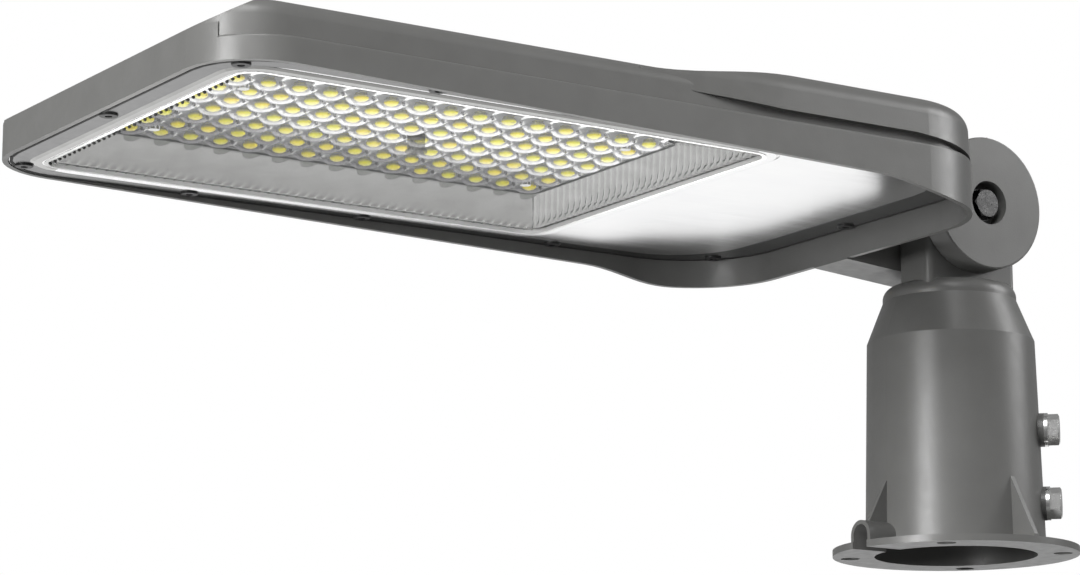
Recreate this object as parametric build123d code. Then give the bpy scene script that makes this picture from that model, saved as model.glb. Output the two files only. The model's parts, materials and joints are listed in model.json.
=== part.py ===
from build123d import *
import math
import os

# Sizes are in millimetres. The origin is the centre of the pole socket's mouth.
# +Z runs up the pole, +X is the reach of the head, +Y is its left side seen from the pole.

# Pole adaptor: socket, barrel, cone and flange
POLE_DIAMETER = 76.0
SOCKET_CLEARANCE = 0.3
SOCKET_DEPTH = 64.0
POLE_STOP = 4.3
BARREL_WALL = 4.1
BARREL_TAPER = 2.6
NECK_RADIUS = 31.8
NECK_DROP = 36.0
NECK_STRAIGHT = 7.5
NECK_ROUND = 6.0
CONE_RISE = 20.0
NECK_WALL = 8.0
FLANGE_RADIUS = 58.0
FLANGE_THICK = 3.2
FLANGE_HOLE_CIRCLE = 100.0
FLANGE_HOLE_DIAMETER = 9.0
FLANGE_HOLES = 4
RIB_THICK = 2.2
RIB_HEIGHT = 28.0
RIB_TOE = 1.2
RIB_SETBACK = 1.0
TUNNEL_WIDTH = 14.0
TUNNEL_HEIGHT = 13.0
TUNNEL_WALL = 1.9
TUNNEL_SETBACK = 0.8

# Clamp bolts of the socket
CLAMP_ANGLE = 135.0
CLAMP_HEIGHTS = (23.7, 58.7)
CLAMP_BOSS_RADIUS = 8.0
CLAMP_BOSS_STAND = 0.9
CLAMP_TIP_GAP = 0.1

# M8 hardware
BOLT_DIAMETER = 8.0
BOLT_CLEARANCE = 0.2
BOLT_HEAD_FLATS = 13.0
BOLT_HEAD_HEIGHT = 5.3
BOLT_HEAD_BEVEL = 30.0
NUT_HEIGHT = 6.5
WASHER_DIAMETER = 16.0
WASHER_THICK = 1.6
BOLT_TAIL = 1.4

# Tilt hinge
PIVOT_HEIGHT = 165.0
EAR_RADIUS = 31.8
EAR_OUTER = 31.0
EAR_EDGE = 0.8
TONGUE_RADIUS = 29.3
TONGUE_NEAR = 17.5
TONGUE_FAR = -5.0
TONGUE_CLEARANCE = 0.3
COLUMN_HALF = 26.8
COLUMN_EDGE = 3.0
COUNTERBORE_DIAMETER = 21.0
HEAD_POCKET = 8.0
NUT_POCKET = 10.0
NEAR_ARM_DROP = 13.0
ARM_TOP_DROP = 15.0
ARM_ROOT = 9.5
CABLE_HOLE_DIAMETER = 12.0
CABLE_HOLE_BACK = 14.5
CABLE_SEAT_RISE = 20.0
BUSH_FLANGE_DIAMETER = 16.0
BUSH_FLANGE_THICK = 2.0
BUSH_STEM = 6.0
BUSH_WALL = 2.0
BUSH_CLEARANCE = 0.1

# Head outline in plan
HEAD_REAR = 55.0
HEAD_FRONT = 453.2
HEAD_HALF_WIDTH = 114.3
HEAD_FRONT_CORNER = 33.0
HEAD_REAR_CORNER = 50.0
SKIRT_WALL = 2.5

# Head heights, measured up from the cover plate's lower face
COVER_DROP = 13.0
RIM_FRONT = -0.2
RIM_SLOPE = 1.115
RIM_STEP = 5.8
RIM_STEP_FRONT = 134.0
RIM_STEP_REAR = 84.0
BAND_HEIGHT = 10.0
BAND_EDGE = 1.0
FRONT_WALL_HEIGHT = 15.5
FRONT_WALL_DEPTH = 5.0
FRONT_SLOPE_RUN = 20.0
GROOVE_DEPTH = 4.0
CHAMBER_DEPTH = 11.0
SINK_BASE = 4.0
FIN_HEIGHT = 8.0
FIN_PITCH = 12.0
FIN_THICK = 5.6
FIN_CHANNELS = 15
FIN_GAP = 12.0
PLATEAU_EDGE = 7.0

# Driver dome at the rear of the head
DOME_RAMP_START = 9.0
DOME_RAMP_LENGTH = 98.0
DOME_HEIGHT = 32.4
DOME_INSET = 0.3
DOME_DRAFT = 3.0
DOME_ROUND = 9.0
DOME_FLARE_LEAD = 6.0
DOME_FLARE_LENGTH = 65.0
DOME_GAP = 4.5
DOME_GAP_START = 57.0

# Cover plate, gasket and screws
PLATE_THICK = 2.0
PLATE_CLEARANCE = 0.4
GASKET_THICK = 1.0
GASKET_WIDTH = 5.0
FRAME_WIDTH = 6.0
FRAME_STAND = 0.6
FRAME_TAPER = 70.0
SCREW_DIAMETER = 4.0
SCREW_CLEARANCE = 0.1
SCREW_HEAD_DIAMETER = 8.0
SCREW_HEAD_HEIGHT = 0.9
SCREW_SOCKET = 3.0
SCREW_LENGTH = 12.0
SCREW_EDGE = 7.2
SCREW_SIDE_PLACES = (157.0, 263.0, 353.0)
SCREW_FRONT_ANGLE = 45.0
SCREW_REAR_ANGLE = 40.0
SCREW_CORNER_EDGE = 8.0

# Chambers inside the head, measured in from its outline
LED_CHAMBER_FRONT_MARGIN = 15.2
LED_CHAMBER_SIDE_MARGIN = 15.8
LED_CHAMBER_CORNER = 14.0
DRIVER_CHAMBER_REAR_MARGIN = 15.0
DRIVER_CHAMBER_SIDE_MARGIN = 13.3
DRIVER_CHAMBER_CORNER = 38.0
DRIVER_CHAMBER_DEPTH = 26.0
CHAMBER_WALL = 5.0
WIRE_HOLE_DIAMETER = 10.0
WIRE_HOLE_SIDE = 70.0

# Window and its seal, measured in from the light chamber
WINDOW_MARGIN = 5.5
WINDOW_REAR_MARGIN = 4.5
WINDOW_CORNER = 9.0
WINDOW_THICK = 2.0
WINDOW_INSET = 0.8
SEAL_WIDTH = 1.8

# Light engine
LED_END_ROOM = 50.0
LED_SIDE_ROOM = 88.0
LED_PITCH_X = 14.55
LED_PITCH_Y = 16.0
LED_SHIFT = 6.1
LED_MARGIN = 9.2
LED_MARGIN_SIDE = 10.0
PAD_THICK = 0.5
BOARD_THICK = 1.6
BOARD_LIP = 2.0
CHIP_SIZE = 3.5
CHIP_HEIGHT = 0.7
CHIP_GAP = 0.1
LENS_SHEET = 1.6
LENS_RIM = 2.0
LENS_RADIUS = 6.7
LENS_TOP_RADIUS = 3.6
LENS_HEIGHT = 2.4
BOARD_SCREW_DIAMETER = 3.0
BOARD_SCREW_HEAD = 5.0
BOARD_SCREW_HEAD_HEIGHT = 1.8
BOARD_SCREW_GRIP = 3.0
POST_LENS_GAP = 0.2
POST_WINDOW_GAP = 0.3
POST_HEAD_GAP = 0.2
POST_FOOT_DIAMETER = 9.5
POST_FOOT_THICK = 1.0
TRAY_WALL = 1.0
TRAY_SEAT_GAP = 0.2
TRAY_MOUTH_INSET = 1.5
TRAY_BOARD_GAP = 0.4
TRAY_CORNER = 6.0

# Electrical gear in the driver chamber
DRIVER_LENGTH = 140.0
DRIVER_WIDTH = 58.0
DRIVER_HEIGHT = 24.0
DRIVER_TAB = 9.0
DRIVER_TAB_THICK = 2.0
DRIVER_EDGE = 2.0
DRIVER_REAR_GAP = 19.0
GEAR_SCREW_DIAMETER = 4.0
GEAR_SCREW_HEAD = 7.0
GEAR_SCREW_HEAD_HEIGHT = 2.2
GEAR_SCREW_DEPTH = 2.0
GEAR_GAP = 3.0
GEAR_SIDE = 40.0
SURGE_LENGTH = 40.0
SURGE_WIDTH = 14.0
SURGE_HEIGHT = 20.0
TERMINAL_LENGTH = 36.0
TERMINAL_WIDTH = 14.0
TERMINAL_HEIGHT = 15.0
TERMINAL_POLES = 3
TERMINAL_ENTRY = 5.0
TERMINAL_ENTRY_DEPTH = 8.0
GLAND_RISE = 6.0
GLAND_SINK = 4.0
GLAND_THREAD = 14.0
GLAND_COLLAR = 18.0
GLAND_COLLAR_LENGTH = 5.0
GLAND_DOME = 8.0
GLAND_BORE = 8.0
GLAND_NUT_FLATS = 17.0
GLAND_NUT_THICK = 4.0
GLAND_CLEARANCE = 0.15
VENT_DIAMETER = 10.0
VENT_HEAD = 14.0
VENT_HEAD_THICK = 3.5
VENT_SIDE = 52.0
VENT_CLEARANCE = 0.15

# Values worked out from the driving sizes
socket_radius = POLE_DIAMETER / 2 + SOCKET_CLEARANCE
barrel_radius = socket_radius + BARREL_WALL
barrel_top_radius = barrel_radius - BARREL_TAPER
clamp_seat = barrel_radius + CLAMP_BOSS_STAND
neck_top = PIVOT_HEIGHT - NECK_DROP
cone_top = neck_top - NECK_STRAIGHT
barrel_top = cone_top - CONE_RISE
bolt_hole = BOLT_DIAMETER / 2 + BOLT_CLEARANCE
slot_near = TONGUE_NEAR + TONGUE_CLEARANCE
slot_far = TONGUE_FAR - TONGUE_CLEARANCE
slot_middle = (slot_near + slot_far) / 2
cover_z = PIVOT_HEIGHT - COVER_DROP
plate_top = cover_z + PLATE_THICK
ledge_z = plate_top + GASKET_THICK
sink_z = ledge_z + CHAMBER_DEPTH
fin_floor = sink_z + SINK_BASE
plateau_top = fin_floor + FIN_HEIGHT
band_top = cover_z + BAND_HEIGHT
front_wall_top = cover_z + FRONT_WALL_HEIGHT
ceiling_z = ledge_z + DRIVER_CHAMBER_DEPTH
driver_chamber_half = HEAD_HALF_WIDTH - DRIVER_CHAMBER_SIDE_MARGIN
driver_chamber_rear = HEAD_REAR + DRIVER_CHAMBER_REAR_MARGIN
driver_centre = driver_chamber_rear + DRIVER_REAR_GAP + DRIVER_WIDTH / 2
gear_width = max(SURGE_WIDTH, TERMINAL_WIDTH)
gear_centre = driver_centre + DRIVER_WIDTH / 2 + GEAR_GAP + gear_width / 2
driver_chamber_front = gear_centre + gear_width / 2 + GEAR_GAP
led_chamber_half = HEAD_HALF_WIDTH - LED_CHAMBER_SIDE_MARGIN
led_chamber_rear = driver_chamber_front + CHAMBER_WALL
led_chamber_front = HEAD_FRONT - LED_CHAMBER_FRONT_MARGIN
window_half = led_chamber_half - WINDOW_MARGIN
window_rear = led_chamber_rear + WINDOW_REAR_MARGIN
window_front = led_chamber_front - WINDOW_MARGIN
dome_top = cover_z + DOME_HEIGHT
dome_half = HEAD_HALF_WIDTH - DOME_INSET
dome_ramp_rear = driver_chamber_front - DOME_RAMP_START
dome_ramp_front = dome_ramp_rear + DOME_RAMP_LENGTH
dome_flare_front = dome_ramp_front - DOME_FLARE_LEAD
dome_flare_rear = dome_flare_front - DOME_FLARE_LENGTH
dome_gap_rear = HEAD_REAR + DOME_GAP_START
fin_rear = dome_ramp_front + FIN_GAP
groove_half = HEAD_HALF_WIDTH - GROOVE_DEPTH
skirt_low = cover_z - 4 * RIM_STEP
window_low = cover_z - WINDOW_INSET
window_top = window_low + WINDOW_THICK
board_low = sink_z - PAD_THICK - BOARD_THICK
lens_top = board_low - CHIP_HEIGHT - CHIP_GAP
lens_low = lens_top - LENS_SHEET
led_columns = 1 + int((window_front - window_rear - LED_END_ROOM) / LED_PITCH_X)
led_rows = 1 + int((2 * window_half - LED_SIDE_ROOM) / LED_PITCH_Y)
led_centre = (window_rear + window_front) / 2 + LED_SHIFT
light_length = (led_columns - 1) * LED_PITCH_X + 2 * LED_MARGIN
light_width = (led_rows - 1) * LED_PITCH_Y + 2 * LED_MARGIN_SIDE
light_rear = led_centre - light_length / 2
light_front = led_centre + light_length / 2


def plan(rear, front, half, rear_corner, front_corner):
    """Rounded rectangle in plan, from rear to front along X."""
    outline = Pos((rear + front) / 2, 0) * Rectangle(front - rear, 2 * half)
    outline = fillet(outline.vertices().group_by(Axis.X)[0], rear_corner)
    return fillet(outline.vertices().group_by(Axis.X)[-1], front_corner)


def prism(sketch, low, high):
    """A plan shape raised from one height to another."""
    return extrude(Pos(0, 0, low) * sketch, high - low)


def head_plan(inset):
    """The head's outline in plan, drawn in by an inset."""
    return plan(
        HEAD_REAR + inset,
        HEAD_FRONT - inset,
        HEAD_HALF_WIDTH - inset,
        HEAD_REAR_CORNER - inset,
        HEAD_FRONT_CORNER - inset,
    )


def across(face, half):
    """A side profile drawn in X and Z, spread over both sides of the middle."""
    return extrude(Plane.XZ * face, half, both=True)


def rod(radius, start, end):
    """A round bar along Y."""
    return extrude(Plane.XZ.offset(-start) * Pos(0, PIVOT_HEIGHT) * Circle(radius), start - end)


def bar_x(radius, start, end, y, z):
    """A round bar along X."""
    return Pos((start + end) / 2, y, z) * Rot(0, 90, 0) * Cylinder(radius, end - start)


def bar_z(radius, low, high, x, y):
    """A round bar along Z."""
    return Pos(x, y, (low + high) / 2) * Cylinder(radius, high - low)


def hexagon(flats):
    """A hexagon across its flats."""
    return RegularPolygon(flats / 2, 6, major_radius=False)


def adaptor_outer():
    """Flange, tapered barrel, cone and rounded shoulder, turned about the pole's axis."""
    outline = Polyline(
        (0, 0),
        (FLANGE_RADIUS, 0),
        (FLANGE_RADIUS, FLANGE_THICK),
        (barrel_radius, FLANGE_THICK),
        (barrel_top_radius, barrel_top),
        (NECK_RADIUS, cone_top),
        (NECK_RADIUS, neck_top),
        (0, neck_top),
        close=True,
    )
    face = make_face(outline)
    corner = face.vertices().sort_by_distance((NECK_RADIUS, neck_top))[0]
    return revolve(Plane.XZ * fillet(corner, NECK_ROUND), Axis.Z)


def adaptor_hollow():
    """Pole socket, the pole's stop and the space under the cone."""
    stop_radius = socket_radius - POLE_STOP
    outline = Polyline(
        (0, 0),
        (socket_radius, 0),
        (socket_radius, SOCKET_DEPTH),
        (stop_radius, SOCKET_DEPTH),
        (stop_radius, barrel_top - POLE_STOP),
        (NECK_RADIUS - NECK_WALL, neck_top - NECK_WALL),
        (0, neck_top - NECK_WALL),
        close=True,
    )
    return revolve(Plane.XZ * make_face(outline), Axis.Z)


def flange_rib(angle):
    """Triangular gusset between the flange and the barrel."""
    toe = FLANGE_RADIUS - RIB_SETBACK
    outline = Polyline(
        (socket_radius + BARREL_WALL / 2, FLANGE_THICK),
        (toe, FLANGE_THICK),
        (toe, FLANGE_THICK + RIB_TOE),
        (socket_radius + BARREL_WALL / 2, FLANGE_THICK + RIB_HEIGHT + BARREL_WALL),
        close=True,
    )
    return Rot(0, 0, angle) * across(make_face(outline), RIB_THICK / 2)


def tunnel_arch(width, height, start, end):
    """Round-topped passage over the flange, along X."""
    half = width / 2
    spring = height - half
    edge = [
        Polyline((-half, spring), (-half, 0), (half, 0), (half, spring)),
        ThreePointArc((half, spring), (0, height), (-half, spring)),
    ]
    return extrude(Plane.YZ.offset(start) * make_face(edge), end - start)


def clamp_bar(radius, start, end, height, side):
    """A round bar pointing out from the pole's axis at a clamp bolt."""
    place = Rot(0, 0, side * CLAMP_ANGLE)
    return place * bar_x(radius, start, end, 0, height)


def clamp_places():
    """Height and side of each clamp bolt."""
    return [(height, side) for side in (1, -1) for height in CLAMP_HEIGHTS]


def make_pole_adaptor():
    """Socket casting with the tilting tongue on top."""
    body = adaptor_outer()
    for quarter in range(4):
        body += flange_rib(90 * quarter)
    tunnel_end = FLANGE_RADIUS - TUNNEL_SETBACK
    body += tunnel_arch(TUNNEL_WIDTH, TUNNEL_HEIGHT, socket_radius + BARREL_WALL / 2, tunnel_end)
    for height, side in clamp_places():
        body += clamp_bar(CLAMP_BOSS_RADIUS, socket_radius + BARREL_WALL / 2, clamp_seat, height, side)
    body -= adaptor_hollow()
    passage = TUNNEL_WIDTH - 2 * TUNNEL_WALL
    body -= tunnel_arch(passage, TUNNEL_HEIGHT - TUNNEL_WALL, NECK_RADIUS, FLANGE_RADIUS + TUNNEL_WALL)
    for height, side in clamp_places():
        body -= clamp_bar(bolt_hole, NECK_RADIUS, clamp_seat + CLAMP_BOSS_STAND, height, side)
    hole_radius = FLANGE_HOLE_DIAMETER / 2
    for number in range(FLANGE_HOLES):
        place = Rot(0, 0, 360 / FLANGE_HOLES * (number + 0.5))
        drill = bar_z(hole_radius, -FLANGE_THICK, 2 * FLANGE_THICK, FLANGE_HOLE_CIRCLE / 2, 0)
        body -= place * drill
    body += make_tongue()
    body -= rod(bolt_hole, slot_near, slot_far)
    cable_y = (TONGUE_NEAR + TONGUE_FAR) / 2
    seat = PIVOT_HEIGHT + CABLE_SEAT_RISE
    top = PIVOT_HEIGHT + TONGUE_RADIUS + BUSH_FLANGE_THICK
    hole_low = neck_top - 2 * NECK_WALL
    body -= bar_z(CABLE_HOLE_DIAMETER / 2, hole_low, top, -CABLE_HOLE_BACK, cable_y)
    spot = BUSH_FLANGE_DIAMETER / 2 + BUSH_CLEARANCE
    body -= bar_z(spot, seat, top, -CABLE_HOLE_BACK, cable_y)
    return body


def make_tongue():
    """Round tongue on a flat column, which the fork of the head takes between its ears."""
    width = TONGUE_NEAR - TONGUE_FAR
    middle = (TONGUE_NEAR + TONGUE_FAR) / 2
    low = neck_top - NECK_ROUND
    section = Pos(0, middle) * RectangleRounded(2 * COLUMN_HALF, width, COLUMN_EDGE)
    column = prism(section, low, PIVOT_HEIGHT)
    disc = rod(TONGUE_RADIUS, TONGUE_NEAR, TONGUE_FAR)
    disc = fillet(disc.edges().filter_by(GeomType.CIRCLE), EAR_EDGE)
    neck = prism(Circle(NECK_RADIUS), low, PIVOT_HEIGHT)
    return (column & neck) + disc


def make_clamp_bolts():
    """Hex bolts that clamp the pole, with their tips flush with the socket."""
    bolts = []
    for height, side in clamp_places():
        start = socket_radius + CLAMP_TIP_GAP
        seat = clamp_seat + WASHER_THICK
        shank = clamp_bar(BOLT_DIAMETER / 2, start, seat, height, side)
        place = Rot(0, 0, side * CLAMP_ANGLE) * Pos(seat, 0, height) * Rot(0, 90, 0)
        bolts.append(shank + place * hex_head(BOLT_HEAD_HEIGHT))
    return Compound(children=bolts)


def hex_head(height):
    """Hexagon prism with its outer corners turned off, rising along Z."""
    block = extrude(hexagon(BOLT_HEAD_FLATS), height)
    tip = BOLT_HEAD_FLATS / 2
    fall = tip * math.tan(math.radians(BOLT_HEAD_BEVEL))
    outline = Polyline(
        (0, 0),
        (BOLT_HEAD_FLATS, 0),
        (BOLT_HEAD_FLATS, height - fall),
        (tip, height),
        (0, height),
        close=True,
    )
    return block & revolve(Plane.XZ * make_face(outline), Axis.Z)


def washer(outer, hole, thick):
    """Flat ring standing on its lower face."""
    return extrude(Circle(outer / 2) - Circle(hole), thick)


def make_clamp_washers():
    """Washers under the clamp bolts' heads."""
    rings = []
    for height, side in clamp_places():
        place = Rot(0, 0, side * CLAMP_ANGLE) * Pos(clamp_seat, 0, height) * Rot(0, 90, 0)
        rings.append(place * washer(WASHER_DIAMETER, bolt_hole, WASHER_THICK))
    return Compound(children=rings)


def make_cable_bush():
    """Flanged rubber bush where the supply cable leaves the tongue."""
    y = (TONGUE_NEAR + TONGUE_FAR) / 2
    seat = PIVOT_HEIGHT + CABLE_SEAT_RISE
    stem = CABLE_HOLE_DIAMETER / 2 - BUSH_CLEARANCE
    body = bar_z(stem, seat - BUSH_STEM, seat, -CABLE_HOLE_BACK, y)
    body += bar_z(BUSH_FLANGE_DIAMETER / 2, seat, seat + BUSH_FLANGE_THICK, -CABLE_HOLE_BACK, y)
    bore = stem - BUSH_WALL
    return body - bar_z(bore, seat - BUSH_STEM, seat + BUSH_FLANGE_THICK, -CABLE_HOLE_BACK, y)


def rim_height(x):
    """Height of the skirt's straight lower edge, before its rear step."""
    return cover_z + RIM_FRONT - math.tan(math.radians(RIM_SLOPE)) * (HEAD_FRONT - x)


def below_skirt():
    """Everything under the skirt's lower edge, which steps down near the rear."""
    beyond = HEAD_REAR_CORNER
    front = (HEAD_FRONT + beyond, rim_height(HEAD_FRONT + beyond))
    step_front = (RIM_STEP_FRONT, rim_height(RIM_STEP_FRONT))
    step_rear = (RIM_STEP_REAR, rim_height(RIM_STEP_REAR) - RIM_STEP)
    rear = (HEAD_REAR - beyond, rim_height(HEAD_REAR - beyond) - RIM_STEP)
    run = (step_front[0] - front[0], step_front[1] - front[1])
    edge = [
        Line(front, step_front),
        Spline(step_front, step_rear, tangents=[run, run]),
        Line(step_rear, rear),
        Polyline(rear, (rear[0], skirt_low - beyond), (front[0], skirt_low - beyond), front),
    ]
    return across(make_face(edge), HEAD_HALF_WIDTH + beyond)


def make_plateau():
    """Raised top over the light engine, sloped to the front wall and drawn in along both sides."""
    slope_top = HEAD_FRONT - FRONT_SLOPE_RUN
    outline = Polyline(
        (driver_chamber_rear, cover_z),
        (HEAD_FRONT, cover_z),
        (HEAD_FRONT, front_wall_top),
        (slope_top, plateau_top),
        (driver_chamber_rear, plateau_top),
        close=True,
    )
    corner = HEAD_FRONT_CORNER - GROOVE_DEPTH
    top_plan = plan(driver_chamber_rear, HEAD_FRONT, groove_half, corner, corner)
    raised = prism(top_plan, cover_z, plateau_top)
    raised = fillet(raised.faces().sort_by(Axis.Z)[-1].edges(), PLATEAU_EDGE)
    return raised & across(make_face(outline), HEAD_HALF_WIDTH)


def make_front_wall():
    """Full-width front wall, which ends in a step where the side grooves begin."""
    wall = prism(head_plan(0), cover_z, front_wall_top)
    kept = Pos(HEAD_FRONT, 0, cover_z + FRONT_WALL_HEIGHT) * Box(
        2 * FRONT_WALL_DEPTH, 2 * HEAD_HALF_WIDTH, 2 * FRONT_WALL_HEIGHT
    )
    return wall & kept


def dome_side():
    """Side view of the driver dome: front ramp, flat top, straight back and the groove under it."""
    low_front = plateau_top - FIN_HEIGHT
    back = HEAD_REAR + DOME_INSET
    ramp_foot = (dome_ramp_front, low_front)
    ramp_start = (dome_ramp_front, plateau_top - PLATEAU_EDGE / 4)
    ramp_end = (dome_ramp_rear, dome_top)
    gap_z = band_top + DOME_GAP
    edge = [
        Line(ramp_foot, ramp_start),
        Spline(ramp_start, ramp_end, tangents=[(-1, 0), (-1, 0)]),
        Polyline(
            ramp_end,
            (back, dome_top),
            (back, band_top),
            (dome_gap_rear, gap_z),
            (dome_flare_rear, gap_z),
            ramp_foot,
        ),
    ]
    return across(make_face(edge), HEAD_HALF_WIDTH)


def dome_plan():
    """The dome in plan: it flares out from the plateau's side to the head's side."""
    flare_in = groove_half - DOME_INSET
    flare_middle = ((dome_flare_front + dome_flare_rear) / 2, (flare_in + dome_half) / 2)
    rear = HEAD_REAR + DOME_INSET
    corner = HEAD_REAR_CORNER - DOME_INSET
    edge = [
        Line((dome_ramp_front, flare_in), (dome_flare_front, flare_in)),
        TangentArc((dome_flare_front, flare_in), flare_middle, tangent=(-1, 0)),
        TangentArc((dome_flare_rear, dome_half), flare_middle, tangent=(1, 0)),
        Line((dome_flare_rear, dome_half), (rear + corner, dome_half)),
        RadiusArc((rear + corner, dome_half), (rear, dome_half - corner), -corner),
        Line((rear, dome_half - corner), (rear, 0)),
        Polyline((rear, 0), (dome_ramp_front, 0), (dome_ramp_front, flare_in)),
    ]
    half = make_face(edge)
    return half + mirror(half, Plane.XZ)


def make_dome():
    """Driver dome, the tall rear part of the head, drafted and rounded along its top edge."""
    block = extrude(Pos(0, 0, band_top) * dome_plan(), dome_top - band_top, taper=DOME_DRAFT)
    top = block.faces().sort_by(Axis.Z)[-1]
    front = top.edges().sort_by(Axis.X)[-1]
    rounded = [edge for edge in top.edges() if edge.center().X < front.center().X]
    return fillet(rounded, DOME_ROUND) & dome_side()


def ear(outer, inner):
    """Round end of a fork arm, with broken edges."""
    disc = rod(EAR_RADIUS, outer, inner)
    return fillet(disc.edges().filter_by(GeomType.CIRCLE), EAR_EDGE)


def arm(outer, inner, low_pivot, low_head):
    """Fork arm from an ear to the head's rear wall."""
    root = HEAD_REAR + ARM_ROOT
    face = make_face(
        Polyline(
            (0, low_pivot),
            (root, low_head),
            (root, PIVOT_HEIGHT + EAR_RADIUS - ARM_TOP_DROP),
            (0, PIVOT_HEIGHT + EAR_RADIUS),
            close=True,
        )
    )
    return extrude(Plane.XZ.offset(-outer) * face, outer - inner)


def make_fork():
    """Two ears on arms; the far arm is deep and flush with the skirt's rear edge."""
    near_low = PIVOT_HEIGHT - NEAR_ARM_DROP
    far_low = PIVOT_HEIGHT - EAR_RADIUS
    skirt_rear = rim_height(HEAD_REAR) - RIM_STEP
    near = ear(EAR_OUTER, slot_near) + arm(EAR_OUTER, slot_near, near_low, near_low)
    far = ear(slot_far, -EAR_OUTER) + arm(slot_far, -EAR_OUTER, far_low, skirt_rear)
    return near + far


def fin_channels():
    """Grooves between the cooling fins, open to the front slope."""
    cuts = []
    width = FIN_PITCH - FIN_THICK
    length = HEAD_FRONT - fin_rear
    for number in range(FIN_CHANNELS):
        y = (number - (FIN_CHANNELS - 1) / 2) * FIN_PITCH
        groove = Pos(fin_rear, y - width / 2, fin_floor) * Box(
            length, width, FIN_HEIGHT, align=(Align.MIN, Align.MIN, Align.MIN)
        )
        cuts.append(groove)
    return cuts


def corner_place(corner, angle):
    """Distance in from the head's end, and side offset, of a screw in a rounded corner."""
    reach = corner - SCREW_CORNER_EDGE
    x = corner - reach * math.cos(math.radians(angle))
    y = HEAD_HALF_WIDTH - corner + reach * math.sin(math.radians(angle))
    return x, y


def screw_places():
    """Plan position of each cover screw."""
    side = HEAD_HALF_WIDTH - SCREW_EDGE
    places = [(HEAD_FRONT - SCREW_EDGE, 0), (HEAD_REAR + SCREW_EDGE, 0)]
    for sign in (1, -1):
        x, y = corner_place(HEAD_FRONT_CORNER, SCREW_FRONT_ANGLE)
        places.append((HEAD_FRONT - x, sign * y))
        x, y = corner_place(HEAD_REAR_CORNER, SCREW_REAR_ANGLE)
        places.append((HEAD_REAR + x, sign * y))
        for x in SCREW_SIDE_PLACES:
            places.append((x, sign * side))
    return places


def make_housing():
    """Die-cast shell: skirt, grooved sides, finned plateau, driver dome and hinge fork."""
    band = prism(head_plan(0), skirt_low, band_top)
    rim = band.faces().sort_by(Axis.Z)[-1].edges()
    body = fillet(rim, BAND_EDGE) - below_skirt()
    body += make_plateau() + make_front_wall() + make_dome() + make_fork()
    body -= prism(head_plan(SKIRT_WALL), skirt_low, ledge_z)
    body -= prism(led_plan(0, 0), ledge_z, sink_z)
    body -= prism(driver_plan(0, 0), ledge_z, ceiling_z)
    wire_z = ledge_z + CHAMBER_DEPTH / 2
    body -= bar_x(WIRE_HOLE_DIAMETER / 2, driver_centre, led_centre, WIRE_HOLE_SIDE, wire_z)
    for groove in fin_channels():
        body -= groove
    hole = SCREW_DIAMETER / 2 + SCREW_CLEARANCE
    for x, y in screw_places():
        body -= bar_z(hole, plate_top, cover_z + SCREW_LENGTH + SCREW_CLEARANCE, x, y)
    body -= rod(bolt_hole, EAR_OUTER + EAR_EDGE, -EAR_OUTER - EAR_EDGE)
    body -= rod(COUNTERBORE_DIAMETER / 2, EAR_OUTER + EAR_EDGE, EAR_OUTER - HEAD_POCKET)
    body -= rod(COUNTERBORE_DIAMETER / 2, NUT_POCKET - EAR_OUTER, -EAR_OUTER - EAR_EDGE)
    gland_hole = GLAND_THREAD / 2 + GLAND_CLEARANCE
    body -= bar_x(gland_hole, gland_seat() - GLAND_COLLAR, driver_centre, slot_middle, gland_z())
    flat = GLAND_COLLAR / 2 + GLAND_CLEARANCE
    body -= bar_x(flat, gland_seat() - GLAND_COLLAR, gland_seat(), slot_middle, gland_z())
    vent_hole = VENT_DIAMETER / 2 + VENT_CLEARANCE
    body -= bar_x(vent_hole, gland_seat() - VENT_HEAD, driver_centre, -VENT_SIDE, gland_z())
    vent_flat = VENT_HEAD / 2 + VENT_CLEARANCE
    body -= bar_x(vent_flat, gland_seat() - VENT_HEAD, gland_seat(), -VENT_SIDE, gland_z())
    gear_hole = GEAR_SCREW_DIAMETER / 2 + SCREW_CLEARANCE
    for x, y in gear_screw_places():
        body -= bar_z(gear_hole, ceiling_z, ceiling_z + GEAR_SCREW_DEPTH, x, y)
    board_hole = BOARD_SCREW_DIAMETER / 2 + SCREW_CLEARANCE
    for x, y in board_screw_places():
        body -= bar_z(board_hole, sink_z, sink_z + BOARD_SCREW_GRIP, x, y)
    return body


def led_plan(grow, grow_rear):
    """The light chamber in plan, grown by a margin and by another one at its rear."""
    corner = LED_CHAMBER_CORNER + grow
    half = led_chamber_half + grow
    return plan(led_chamber_rear - grow_rear, led_chamber_front + grow, half, corner, corner)


def driver_plan(grow, grow_front):
    """The driver chamber in plan, grown by a margin and by another one at its front."""
    corner = DRIVER_CHAMBER_CORNER + grow
    half = driver_chamber_half + grow
    return plan(driver_chamber_rear - grow, driver_chamber_front + grow_front, half, corner, corner)


def gland_seat():
    """Flat spot on the rear wall that the gland and the vent sit on."""
    return HEAD_REAR + GLAND_SINK


def gland_z():
    """Height of the gland and the vent."""
    return PIVOT_HEIGHT + GLAND_RISE


def plate_opening():
    """The window's outline with room for its seal."""
    return window_plan(SEAL_WIDTH)


def window_plan(grow):
    """The window's outline, grown by a margin."""
    corner = WINDOW_CORNER + grow
    return plan(window_rear - grow, window_front + grow, window_half + grow, corner, corner)


def make_cover_plate():
    """Bright cover under the head, with a low raised frame round the window."""
    sheet = prism(head_plan(SKIRT_WALL + PLATE_CLEARANCE), cover_z, plate_top)
    frame_plan = window_plan(SEAL_WIDTH + FRAME_WIDTH)
    frame = extrude(Pos(0, 0, cover_z) * frame_plan, -FRAME_STAND, taper=FRAME_TAPER)
    body = sheet + frame
    body -= prism(plate_opening(), cover_z - 2 * FRAME_STAND, plate_top)
    hole = SCREW_DIAMETER / 2 + SCREW_CLEARANCE
    for x, y in screw_places():
        body -= bar_z(hole, cover_z - FRAME_STAND, plate_top, x, y)
    return body


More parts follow.
